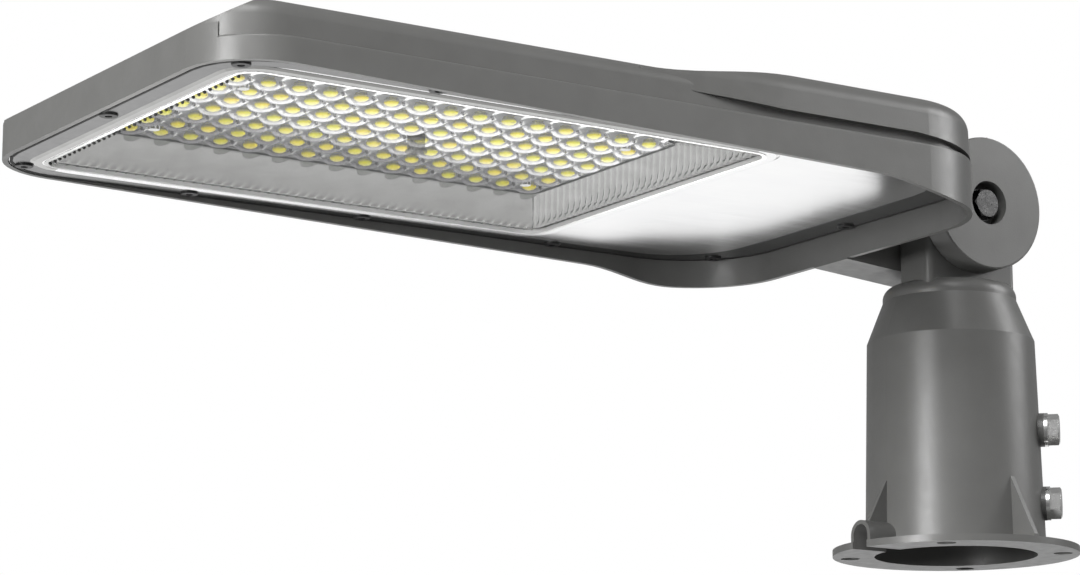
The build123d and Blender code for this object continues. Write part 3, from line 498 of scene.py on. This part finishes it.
def make_board():
    """White solder mask of the light board."""
    material = new_material("board", (0.84, 0.84, 0.83), roughness=0.4)
    tint(material, add_noise(material, scale=140.0), (0.8, 0.8, 0.79), (0.88, 0.88, 0.87))
    drive(material, "Roughness", add_noise(material, scale=500.0), low=0.3, high=0.45)
    return material


def make_phosphor():
    """Yellow phosphor under silicone."""
    material = new_material("phosphor", (0.4, 0.36, 0.008), roughness=0.3)
    tint(material, add_noise(material, scale=60.0), (0.43, 0.34, 0.007), (0.37, 0.37, 0.009))
    drive(material, "Roughness", add_noise(material, scale=900.0), low=0.22, high=0.36)
    return material


def make_steel():
    """Bright zinc-plated steel with fine turning marks."""
    material = new_material("bright_steel", (0.66, 0.66, 0.65), roughness=0.28, metallic=1.0)
    tint(material, add_noise(material, scale=300.0), (0.68, 0.68, 0.67), (0.76, 0.76, 0.75))
    drive(material, "Roughness", add_noise(material, scale=1500.0), low=0.16, high=0.26)
    roughen(material, add_noise(material, scale=4000.0, detail=2.0), depth=0.004 * MM)
    return material


def make_pocket_shade_steel():
    """Steel of the hinge bolt, darkened as painted shade of its deep pocket."""
    material = new_material("pocket_shade_steel", (0.1, 0.1, 0.1), roughness=0.25, metallic=1.0)
    tint(material, add_noise(material, scale=300.0), (0.08, 0.08, 0.08), (0.13, 0.13, 0.13))
    drive(material, "Roughness", add_noise(material, scale=1500.0), low=0.18, high=0.3)
    return material


def make_black_screw():
    """Black oxide steel."""
    material = new_material("black_screw", (0.018, 0.018, 0.018), roughness=0.38, metallic=0.2)
    tint(material, add_noise(material, scale=600.0), (0.012, 0.012, 0.012), (0.026, 0.026, 0.026))
    drive(material, "Roughness", add_noise(material, scale=1200.0), low=0.3, high=0.46)
    return material


def make_driver_case():
    """Satin aluminium case of the power supply."""
    material = new_material("driver_case", (0.55, 0.55, 0.55), roughness=0.35, metallic=1.0)
    tint(material, add_noise(material, scale=60.0), (0.5, 0.5, 0.5), (0.6, 0.6, 0.6))
    roughen(material, add_noise(material, scale=700.0, detail=2.0, stretch=(0.05, 1, 1)), depth=0.01 * MM)
    return material


def make_black_plastic():
    """Moulded black nylon."""
    material = new_material("black_plastic", (0.025, 0.025, 0.026), roughness=0.5)
    tint(material, add_noise(material, scale=150.0), (0.02, 0.02, 0.02), (0.034, 0.034, 0.035))
    roughen(material, add_noise(material, scale=1800.0), depth=0.02 * MM)
    return material


def make_terminal_plastic():
    """Moulded ivory plastic."""
    material = new_material("terminal_plastic", (0.74, 0.73, 0.66), roughness=0.45)
    tint(material, add_noise(material, scale=150.0), (0.7, 0.69, 0.62), (0.78, 0.77, 0.7))
    roughen(material, add_noise(material, scale=1600.0), depth=0.02 * MM)
    return material


def make_floor_paint():
    """Pale matt floor, nearly white to the camera, which reflections show as a sweep behind the part."""
    material = new_material("studio_floor", (0.8, 0.8, 0.8), roughness=0.7)
    tint(material, add_noise(material, scale=1.5), (0.78, 0.78, 0.78), (0.82, 0.82, 0.82))
    tree = material.node_tree
    path = tree.nodes.new("ShaderNodeLightPath")
    white = tree.nodes.new("ShaderNodeEmission")
    pale = work_out(tree, "MULTIPLY", path.outputs["Is Camera Ray"], FLOOR_PALE)
    paint = tree.nodes["Principled BSDF"].outputs["BSDF"]
    lit = mix_shaders(tree, pale, paint, white.outputs["Emission"])
    glow = tree.nodes.new("ShaderNodeEmission")
    strength = along(material, GLOW_TOWARDS, GLOW_STRETCH, (GLOW_UNDER, WHITE))
    feed(tree, glow.inputs["Strength"], strength)
    # The sweep shows only before any diffuse bounce, so it adds no light to matt surfaces
    direct = work_out(tree, "LESS_THAN", path.outputs["Diffuse Depth"], 1.0)
    sweep = work_out(tree, "MULTIPLY", mirrored_rays(tree, path), direct)
    shown = mix_shaders(tree, sweep, lit, glow.outputs["Emission"])
    feed(tree, tree.nodes["Material Output"].inputs["Surface"], shown)
    return material


def add_piece(name, build, material, node=None):
    """A new mesh piece on the head, standing for a node where one is named."""
    mesh = bmesh.new()
    build(mesh)
    bmesh.ops.recalc_face_normals(mesh, faces=mesh.faces)
    data = bpy.data.meshes.new(name)
    mesh.to_mesh(data)
    mesh.free()
    piece = bpy.data.objects.new(name, data)
    bpy.context.scene.collection.objects.link(piece)
    piece.data.materials.append(material)
    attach(piece, "head")
    if node:
        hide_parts(node)


def turned(mesh, centre, profile, capped=True):
    """Turned form about a vertical axis, through each radius and height, closed at its tip."""
    rings = []
    for radius, height in profile:
        ring = []
        for number in range(ROUND_SEGMENTS if radius > 0 else 1):
            angle = 2 * math.pi * number / ROUND_SEGMENTS
            offset = Vector((radius * math.cos(angle), radius * math.sin(angle), height))
            ring.append(mesh.verts.new(centre + offset))
        rings.append(ring)
    for first, second in zip(rings, rings[1:]):
        for number in range(ROUND_SEGMENTS):
            after = (number + 1) % ROUND_SEGMENTS
            corners = [first[number], first[after]]
            if len(second) == 1:
                corners.append(second[0])
            else:
                corners += [second[after], second[number]]
            mesh.faces.new(corners).smooth = True
    if capped:
        mesh.faces.new(rings[0])


def dome_profile(radius, start, rise):
    """Quarter ellipse from its widest ring down to its tip."""
    points = []
    for step in range(DOME_RINGS):
        angle = math.pi / 2 * step / DOME_RINGS
        points.append((radius * math.cos(angle), start - rise * math.sin(angle)))
    points.append((0, start - rise))
    return points


def spread(width):
    """Step of one width along X and along Y."""
    return Vector((width, width, 0))


def corner_point(outline, quarter, share):
    """Point on a rounded corner of an outline; quarter 0 lies at high X and low Y."""
    low, high, corner = outline
    centre_x = high.x - corner if quarter in (0, 1) else low.x + corner
    centre_y = high.y - corner if quarter in (1, 2) else low.y + corner
    angle = math.pi / 2 * (quarter - 1 + share)
    return Vector((centre_x + corner * math.cos(angle), centre_y + corner * math.sin(angle)))


def rounded_outline(outline, quarters=range(4)):
    """Points round the corners of a rectangle with rounded corners."""
    shares = [step / CORNER_STEPS for step in range(CORNER_STEPS + 1)]
    return [corner_point(outline, quarter, share) for quarter in quarters for share in shares]


def tapered_outline(low, high, front_corner, rear_corner):
    """Outline whose front and rear corners have their own radii."""
    front = rounded_outline((low, high, front_corner), (0, 1))
    return front + rounded_outline((low, high, rear_corner), (2, 3))


def lay_ring(mesh, places, z):
    """New points of an outline at one height."""
    return [mesh.verts.new((place.x, place.y, z)) for place in places]


def join_rings(mesh, rings, smooth=False):
    """Faces between each ring of points and the next."""
    for first, second in zip(rings, rings[1:]):
        for number in range(len(first)):
            after = (number + 1) % len(first)
            corners = [first[number], first[after], second[after], second[number]]
            mesh.faces.new(corners).smooth = smooth


def capped_band(mesh, rings, smooth=False):
    """Solid through rings of points, closed at both ends."""
    join_rings(mesh, rings, smooth)
    mesh.faces.new(rings[0])
    mesh.faces.new(rings[-1])


def closed_band(mesh, rings):
    """Solid frame through rings of points, from the last back to the first."""
    join_rings(mesh, rings + rings[:1])


def block(mesh, low, high):
    """Rectangular block between two corners."""
    plan = [Vector(place) for place in ((low.x, low.y), (high.x, low.y), (high.x, high.y), (low.x, high.y))]
    capped_band(mesh, [lay_ring(mesh, plan, z) for z in (low.z, high.z)])


def evenly(count, pitch, middle):
    """Places at one pitch, half of them on each side of the middle."""
    return [middle + (number - (count - 1) / 2) * pitch for number in range(count)]


def led_places():
    """Plan position of each light source."""
    low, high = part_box("lens_plate")
    middle = (low + high) / 2
    rows = evenly(LED_ROWS, LED_PITCH_Y, middle.y)
    return [(x, y) for x in evenly(LED_COLUMNS, LED_PITCH_X, middle.x) for y in rows]


def sheet_low():
    """Height of the lens sheet's lower face, below the light sources."""
    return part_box("led_chips")[0].z - SHEET_GAP - SHEET_THICK


def build_lens_sheet(mesh):
    """Clear sheet that carries the lenses."""
    low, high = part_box("lens_plate")
    base = sheet_low()
    places = rounded_outline((low, high, SHEET_CORNER))
    capped_band(mesh, [lay_ring(mesh, places, z) for z in (base, base + SHEET_THICK)])


def build_lenses(mesh):
    """Collared clear dome over each light source, open towards the sheet."""
    shoulder = -LENS_COLLAR - LENS_STEP / 2
    collar = [(LENS_RADIUS, 0), (LENS_RADIUS, -LENS_COLLAR), (LENS_RADIUS - LENS_STEP / 2, shoulder)]
    profile = collar + dome_profile(LENS_RADIUS - LENS_STEP, shoulder, LENS_RISE)
    base = sheet_low()
    for x, y in led_places():
        turned(mesh, Vector((x, y, base)), profile, capped=False)


def build_emitters(mesh):
    """Square package with a phosphor dome for each light source."""
    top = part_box("led_chips")[1].z
    half = EMITTER_SIZE / 2
    under = dome_profile(EMITTER_DOME_RADIUS, 0, EMITTER_DOME_HALF)
    over = [(radius, -height) for radius, height in under[-2:0:-1]]
    profile = over + under
    for x, y in led_places():
        block(mesh, Vector((x - half, y - half, top - EMITTER_HEIGHT)), Vector((x + half, y + half, top)))
        turned(mesh, Vector((x, y, top - EMITTER_DOME_DROP)), profile)


def build_pips(mesh):
    """Small moulded pip on each lens."""
    profile = [(PIP_RADIUS, 0)] + dome_profile(PIP_RADIUS, -PIP_RISE / 2, PIP_RISE / 2)
    base = sheet_low()
    for x, y in led_places():
        turned(mesh, Vector((x + PIP_OFFSET.x, y + PIP_OFFSET.y, base)), profile)


def build_throat_shade_strip(mesh):
    """Dark strip along the rear and far edges of the lens sheet, which paints the shade in the gap to the
    reflector.
    """
    low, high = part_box("lens_plate")
    out = spread(THROAT_STRIP)
    base = sheet_low()
    inner = rounded_outline((low, high, SHEET_CORNER), (2, 3, 0))
    outer = rounded_outline((low - out, high + out, SHEET_CORNER + THROAT_STRIP), (2, 3, 0))
    sections = []
    for inside, outside in zip(inner, outer):
        corners = [(inside, THROAT_STRIP_LOW), (inside, THROAT_STRIP_HIGH),
                   (outside, THROAT_STRIP_HIGH), (outside, THROAT_STRIP_LOW)]
        sections.append([mesh.verts.new((place.x, place.y, base + drop)) for place, drop in corners])
    capped_band(mesh, sections)


def build_lens_flank_shades(mesh):
    """Curved flank on the far side of each lens, tapered towards its two ends, which carries painted shade
    of the lens's lower half.
    """
    wall = PRISM_OUTER - PRISM_INNER
    base = sheet_low()
    for x, y in led_places():
        sections = []
        for step in range(PRISM_STEPS + 1):
            turn = 2 * step / PRISM_STEPS - 1
            angle = PRISM_FACING + PRISM_HALF_SPAN * turn
            rise = PRISM_RISE * math.sqrt(max(PRISM_LEAST_RISE, 1 - turn * turn))
            section = []
            for across, down in PRISM_SECTION:
                radius = PRISM_INNER + wall * across
                place = (x + radius * math.cos(angle), y + radius * math.sin(angle), base + rise * down)
                section.append(mesh.verts.new(place))
            sections.append(section)
        capped_band(mesh, sections, smooth=True)


def build_groove_shade_beads(mesh):
    """Row of small black beads under the window, along the inside of its front seal, which paint the shade
    in the grooves of the reflector's mouth.
    """
    low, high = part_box("window")
    length = high.y - low.y - 2 * MOUTH_CORNER
    count = round(length / RIB_PITCH)
    dome = dome_profile(BEAD_RADIUS, -BEAD_STRAIGHT, BEAD_DROP - BEAD_STRAIGHT)
    for number in range(count + 1):
        y = low.y + MOUTH_CORNER + length * number / count
        turned(mesh, Vector((high.x - BEAD_RADIUS, y, low.z)), [(BEAD_RADIUS, 0)] + dome)


def build_rim(mesh):
    """Flat rim on the cover plate's margin, wider at the rear."""
    low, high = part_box("cover_plate")
    plate_low = high.z - PLATE_THICK
    gap = spread(RIM_GAP)
    outer = tapered_outline(low + gap, high - gap, PLATE_FRONT_CORNER, PLATE_REAR_CORNER)
    rear = Vector((RIM_REAR_WIDTH, RIM_SIDE_WIDTH, 0))
    front = Vector((RIM_FRONT_WIDTH, RIM_SIDE_WIDTH, 0))
    inner = tapered_outline(low + rear, high - front, RIM_FRONT_CORNER, RIM_REAR_CORNER)
    bevel = spread(RIM_BEVEL)
    edge = tapered_outline(low + rear + bevel, high - front - bevel, RIM_FRONT_CORNER, RIM_REAR_CORNER)
    rim_low = plate_low - RIM_THICK
    levels = ((outer, plate_low), (outer, rim_low), (inner, rim_low), (edge, plate_low))
    closed_band(mesh, [lay_ring(mesh, places, z) for places, z in levels])


def build_lip(mesh):
    """Narrow lip of the gasket round the cover plate's edge."""
    low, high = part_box("cover_plate")
    plate_low = high.z - PLATE_THICK
    gap = spread(RIM_GAP)
    lip = spread(LIP_WIDTH)
    outer = tapered_outline(low + gap, high - gap, PLATE_FRONT_CORNER, PLATE_REAR_CORNER)
    inner = tapered_outline(low + lip, high - lip, PLATE_FRONT_CORNER, PLATE_REAR_CORNER)
    lip_low = plate_low - LIP_THICK
    levels = ((outer, plate_low), (outer, lip_low), (inner, lip_low), (inner, plate_low))
    closed_band(mesh, [lay_ring(mesh, places, z) for places, z in levels])


def build_frame_front_shade(mesh):
    """Thin darker skin over the window's frame, from its far front corner to the end of its near side, as
    painted shade on those sides.
    """
    low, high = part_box("window_seal")
    plate_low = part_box("cover_plate")[1].z - PLATE_THICK
    frame_low = plate_low - FRAME_STAND
    section = ((FRAME_INSET, frame_low), (FRAME_INSET, frame_low - FRAME_SKIN),
               (FRAME_WIDTH - FRAME_SLOPE, frame_low - FRAME_SKIN),
               (FRAME_WIDTH + FRAME_SKIN, plate_low - FRAME_SKIN), (FRAME_WIDTH, plate_low))
    lines = []
    for grow, z in section:
        outline = (low - spread(grow), high + spread(grow), FRAME_CORNER + grow)
        near_end = corner_point(outline, 2, 0)
        lines.append(lay_ring(mesh, rounded_outline(outline, (0, 1)) + [near_end], z))
    capped_band(mesh, [list(points) for points in zip(*lines)])


def build_lobe_painted_shades(mesh):
    """Dark rounded lobe under each far lens, along the reflector's wall, painted shade below the lens
    sheet's edge.
    """
    low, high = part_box("lens_plate")
    tray_low, tray_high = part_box("reflector_tray")
    base = sheet_low()
    slope = Vector((0, tray_low.y - low.y, tray_low.z - tray_high.z)).normalized()
    under = Vector((0, -slope.z, slope.y)) * LOBE_STAND
    for x in evenly(LED_COLUMNS, LED_PITCH_X, (low.x + high.x) / 2):
        root = Vector((x + LOBE_SHIFT, low.y - THROAT_GAP, base))
        top = []
        for step in range(LOBE_STEPS + 1):
            angle = math.pi * step / LOBE_STEPS
            side = Vector((LOBE_HALF * math.cos(angle), 0, 0))
            top.append(mesh.verts.new(root + side + slope * LOBE_LENGTH * math.sin(angle)))
        capped_band(mesh, [top, [mesh.verts.new(vert.co + under) for vert in top]])


def build_highlight_teeth(mesh):
    """Pointed white teeth over the window, along its far and rear edges, painted highlight of the crimp
    ends' bright reflection.
    """
    low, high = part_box("window")
    base = high.z + TOOTH_GAP
    rise = Vector((0, 0, TOOTH_RISE))
    far_edge = (high.x - low.x, Vector((low.x, low.y + TOOTH_SETBACK, base)), Vector((1, 0, 0)))
    rear_edge = (high.y - low.y, Vector((low.x + TOOTH_SETBACK, low.y, base)), Vector((0, 1, 0)))
    for length, start, step in (far_edge, rear_edge):
        inward = Vector((step.y, step.x, 0)) * TOOTH_THICK
        side = step * TOOTH_BASE
        count = round((length - 2 * MOUTH_CORNER) / RIB_PITCH)
        for number in range(count + 1):
            middle = start + step * (MOUTH_CORNER + RIB_PITCH * number)
            back = [mesh.verts.new(place) for place in (middle - side, middle + rise, middle + side)]
            capped_band(mesh, [back, [mesh.verts.new(vert.co + inward) for vert in back]])


def wall_column(mesh, wall, number, count):
    """One line of points up a reflector wall, which ends at the throat or at a mitred corner."""
    across = 1 - wall.axis
    first, last = wall.mouth[0][across], wall.mouth[1][across]
    left, right = wall.throat[0][across] - first, last - wall.throat[1][across]
    start = first + (last - first) * number / count
    reach = min(1, (last - start) / (right + wall.lean))
    if wall.lean < left:
        reach = min(reach, (start - first) / (left - wall.lean))
    corner = 1 if wall.outward > 0 else 0
    foot, head = wall.mouth[corner][wall.axis], wall.throat[corner][wall.axis]
    bottom, top = wall.heights
    column = []
    for row in REFLECTOR_ROWS:
        share = row * reach
        place = start + wall.lean * share
        clear = max(0, min(place - first - left * share, last - right * share - place))
        crimp = max(0, 1 - share / CRIMP_SHARE)
        depth = wall.depth + (RIB_DEPTH_MOUTH - wall.depth) * crimp
        wave = depth * math.cos(2 * math.pi * number / RIB_POINTS) * min(1, clear / RIB_FADE)
        bulge = 4 * share * (1 - share) * REFLECTOR_BULGE * min(1, clear / BULGE_FADE)
        point = Vector((0, 0, bottom + (top - bottom) * share))
        point[wall.axis] = foot + (head - foot) * share + wall.outward * (bulge + wave)
        point[across] = place
        column.append(mesh.verts.new(point))
    return column


def build_reflector(mesh):
    """Four ribbed walls that slope from the window up to the light engine."""
    low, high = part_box("reflector_tray")
    sheet_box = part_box("lens_plate")
    inset = spread(MOUTH_INSET)
    gap = spread(THROAT_GAP)
    mouth = (low + inset, high - inset)
    throat = (sheet_box[0] - gap, sheet_box[1] + gap)
    rear_lean = throat[0].y - mouth[0].y
    # Each wall's axis, its outward sense along it, the lean of its ribs and their depth
    rear = (0, -1, rear_lean, RIB_DEPTH_END)
    front = (0, 1, 0, RIB_DEPTH_END)
    far = (1, -1, 0, RIB_DEPTH_SIDE)
    near = (1, 1, 0, RIB_DEPTH_SIDE)
    for side in (rear, front, far, near):
        wall = Wall(*side, mouth, throat, (low.z, high.z))
        across = 1 - wall.axis
        count = RIB_POINTS * round((mouth[1][across] - mouth[0][across]) / RIB_PITCH)
        columns = [wall_column(mesh, wall, number, count) for number in range(count + 1)]
        for first, second in zip(columns, columns[1:]):
            for row in range(len(REFLECTOR_ROWS) - 1):
                mesh.faces.new([first[row], first[row + 1], second[row + 1], second[row]]).smooth = True
    bmesh.ops.remove_doubles(mesh, verts=mesh.verts, dist=WELD)
    bmesh.ops.recalc_face_normals(mesh, faces=mesh.faces)
    bmesh.ops.solidify(mesh, geom=mesh.faces[:], thickness=REFLECTOR_WALL)


make_camera()
make_world()
make_lights()
make_floor(make_floor_paint())

finishes = {
    "casting": make_casting(),
    "bright_plate": make_bright_plate(),
    "window": make_window_glass(),
    "lens": make_lens_plastic_row_shade(),
    "reflector": make_reflector_metal(),
    "pale_seal": make_seal(),
    "dark_rubber": make_rubber(),
    "thermal_pad": make_thermal_pad(),
    "board": make_board(),
    "phosphor": make_phosphor(),
    "bright_steel": make_steel(),
    "black_screw": make_black_screw(),
    "smoked_plastic": make_smoked_plastic(),
    "driver_case": make_driver_case(),
    "black_plastic": make_black_plastic(),
    "terminal_plastic": make_terminal_plastic(),
}
slots = {part["node"]: part["material_slot"] for part in frame["record"]["subparts"]}
for node, solid in frame["nodes"].items():
    solid.data.materials.clear()
    solid.data.materials.append(finishes[slots[node]])
# Painted shade: the pivot parts get the darker steel for the depth of their pocket
pocket_shade_steel = make_pocket_shade_steel()
for node in ("pivot_bolt", "pivot_nut", "pivot_washers"):
    frame["nodes"][node].data.materials[0] = pocket_shade_steel

add_piece("lens_sheet", build_lens_sheet, make_lens_sheet_plastic(), "lens_plate")
add_piece("lens_domes", build_lenses, finishes["lens"])
add_piece("led_emitters", build_emitters, finishes["phosphor"], "led_chips")
add_piece("lens_pips", build_pips, finishes["black_plastic"])
add_piece("throat_shade_strip", build_throat_shade_strip, finishes["dark_rubber"])
add_piece("lens_flank_shades", build_lens_flank_shades, make_prism_plastic_painted_shade())
add_piece("mouth_groove_shade_beads", build_groove_shade_beads, finishes["dark_rubber"])
add_piece("lobe_painted_shades", build_lobe_painted_shades, make_lobe_shade_plastic())
add_piece("cover_rim", build_rim, make_rim_paint())
add_piece("gasket_lip", build_lip, finishes["dark_rubber"])
# Painted shade: the frame's front and near sides take the duller reflector metal
add_piece("frame_front_shade", build_frame_front_shade, finishes["reflector"])
add_piece("crimp_highlight_teeth", build_highlight_teeth, finishes["pale_seal"])
add_piece("ribbed_reflector", build_reflector, finishes["reflector"], "reflector_tray")

bpy.context.scene.view_settings.view_transform = "Standard"
